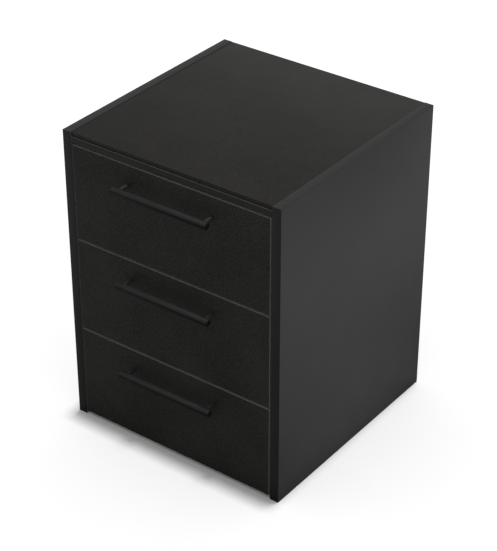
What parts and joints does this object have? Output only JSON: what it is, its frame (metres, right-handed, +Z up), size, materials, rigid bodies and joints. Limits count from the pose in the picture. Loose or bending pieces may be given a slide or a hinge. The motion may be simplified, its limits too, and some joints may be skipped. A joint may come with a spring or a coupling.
{
  "type": "nightstand",
  "caption": "Black box nightstand with inset drawer fronts, round bar pulls, full-height side panels and a loose top panel, on full-extension ball slides.",
  "frame": {"origin": "centre of the whole footprint, handles included, on the floor", "axes": "+Z up, -Y the way the drawers open, +X the right side as seen from the front"},
  "size_m": [0.41, 0.435, 0.528],
  "materials": {
    "side_board": "melamine-faced particle board, satin black, smooth",
    "top_board": "melamine-faced board, black, fine orange-peel grain",
    "front_board": "melamine-faced particle board, black, fine grain",
    "inner_board": "melamine-faced particle board, plain black inside",
    "hardboard": "thin hardboard, black lacquered face",
    "edging": "black edging strip, smooth satin",
    "front_edging": "graphite-black edging strip round the drawer fronts",
    "handle_black": "black powder coat, satin",
    "slide_steel": "zinc-plated rolled steel",
    "ball_steel": "polished balls in a bright steel cage",
    "zinc_steel": "zinc-plated screws and bolts",
    "cam_zinc": "die-cast zinc, dull grey",
    "beech": "plain beech dowel"
  },
  "bodies": {
    "cabinet": {"side_panel_left": "side_board", "side_panel_right": "side_board", "carcass_top": "inner_board", "top_insert": "top_board", "bottom_board": "inner_board", "back_panel": "hardboard", "cabinet_edging": "edging", "cam_locks": "cam_zinc", "cam_bolts": "zinc_steel", "wood_dowels": "beech", "cabinet_screws": "zinc_steel", "cabinet_slide_left_1": "slide_steel", "cabinet_slide_right_1": "slide_steel", "cabinet_slide_left_2": "slide_steel", "cabinet_slide_right_2": "slide_steel", "cabinet_slide_left_3": "slide_steel", "cabinet_slide_right_3": "slide_steel"},
    "drawer_1": {"drawer_front_1": "front_board", "front_edging_1": "front_edging", "box_front_1": "inner_board", "box_side_left_1": "inner_board", "box_side_right_1": "inner_board", "box_back_1": "inner_board", "box_bottom_1": "hardboard", "drawer_slides_1": "slide_steel", "drawer_screws_1": "zinc_steel", "handle_bar_1": "handle_black", "handle_posts_1": "handle_black", "handle_screws_1": "zinc_steel"},
    "slide_middle_1": {"slide_middles_1": "slide_steel", "ball_cages_1": "ball_steel"},
    "drawer_2": {"drawer_front_2": "front_board", "front_edging_2": "front_edging", "box_front_2": "inner_board", "box_side_left_2": "inner_board", "box_side_right_2": "inner_board", "box_back_2": "inner_board", "box_bottom_2": "hardboard", "drawer_slides_2": "slide_steel", "drawer_screws_2": "zinc_steel", "handle_bar_2": "handle_black", "handle_posts_2": "handle_black", "handle_screws_2": "zinc_steel"},
    "slide_middle_2": {"slide_middles_2": "slide_steel", "ball_cages_2": "ball_steel"},
    "drawer_3": {"drawer_front_3": "front_board", "front_edging_3": "front_edging", "box_front_3": "inner_board", "box_side_left_3": "inner_board", "box_side_right_3": "inner_board", "box_back_3": "inner_board", "box_bottom_3": "hardboard", "drawer_slides_3": "slide_steel", "drawer_screws_3": "zinc_steel", "handle_bar_3": "handle_black", "handle_posts_3": "handle_black", "handle_screws_3": "zinc_steel"},
    "slide_middle_3": {"slide_middles_3": "slide_steel", "ball_cages_3": "ball_steel"}
  },
  "joints": [
    {"name": "drawer_1_slide", "type": "slide", "parent": "cabinet", "child": "drawer_1", "axis": [0, -1, 0], "range_m": [0, 0.35]},
    {"name": "slide_middle_1_travel", "type": "slide", "parent": "cabinet", "child": "slide_middle_1", "axis": [0, -1, 0], "range_m": [0, 0.175]},
    {"name": "drawer_2_slide", "type": "slide", "parent": "cabinet", "child": "drawer_2", "axis": [0, -1, 0], "range_m": [0, 0.35]},
    {"name": "slide_middle_2_travel", "type": "slide", "parent": "cabinet", "child": "slide_middle_2", "axis": [0, -1, 0], "range_m": [0, 0.175]},
    {"name": "drawer_3_slide", "type": "slide", "parent": "cabinet", "child": "drawer_3", "axis": [0, -1, 0], "range_m": [0, 0.35]},
    {"name": "slide_middle_3_travel", "type": "slide", "parent": "cabinet", "child": "slide_middle_3", "axis": [0, -1, 0], "range_m": [0, 0.175]}
  ],
  "couplings": [
    {"joint": "slide_middle_1_travel", "follows": "drawer_1_slide", "ratio": 0.5},
    {"joint": "slide_middle_2_travel", "follows": "drawer_2_slide", "ratio": 0.5},
    {"joint": "slide_middle_3_travel", "follows": "drawer_3_slide", "ratio": 0.5}
  ]
}
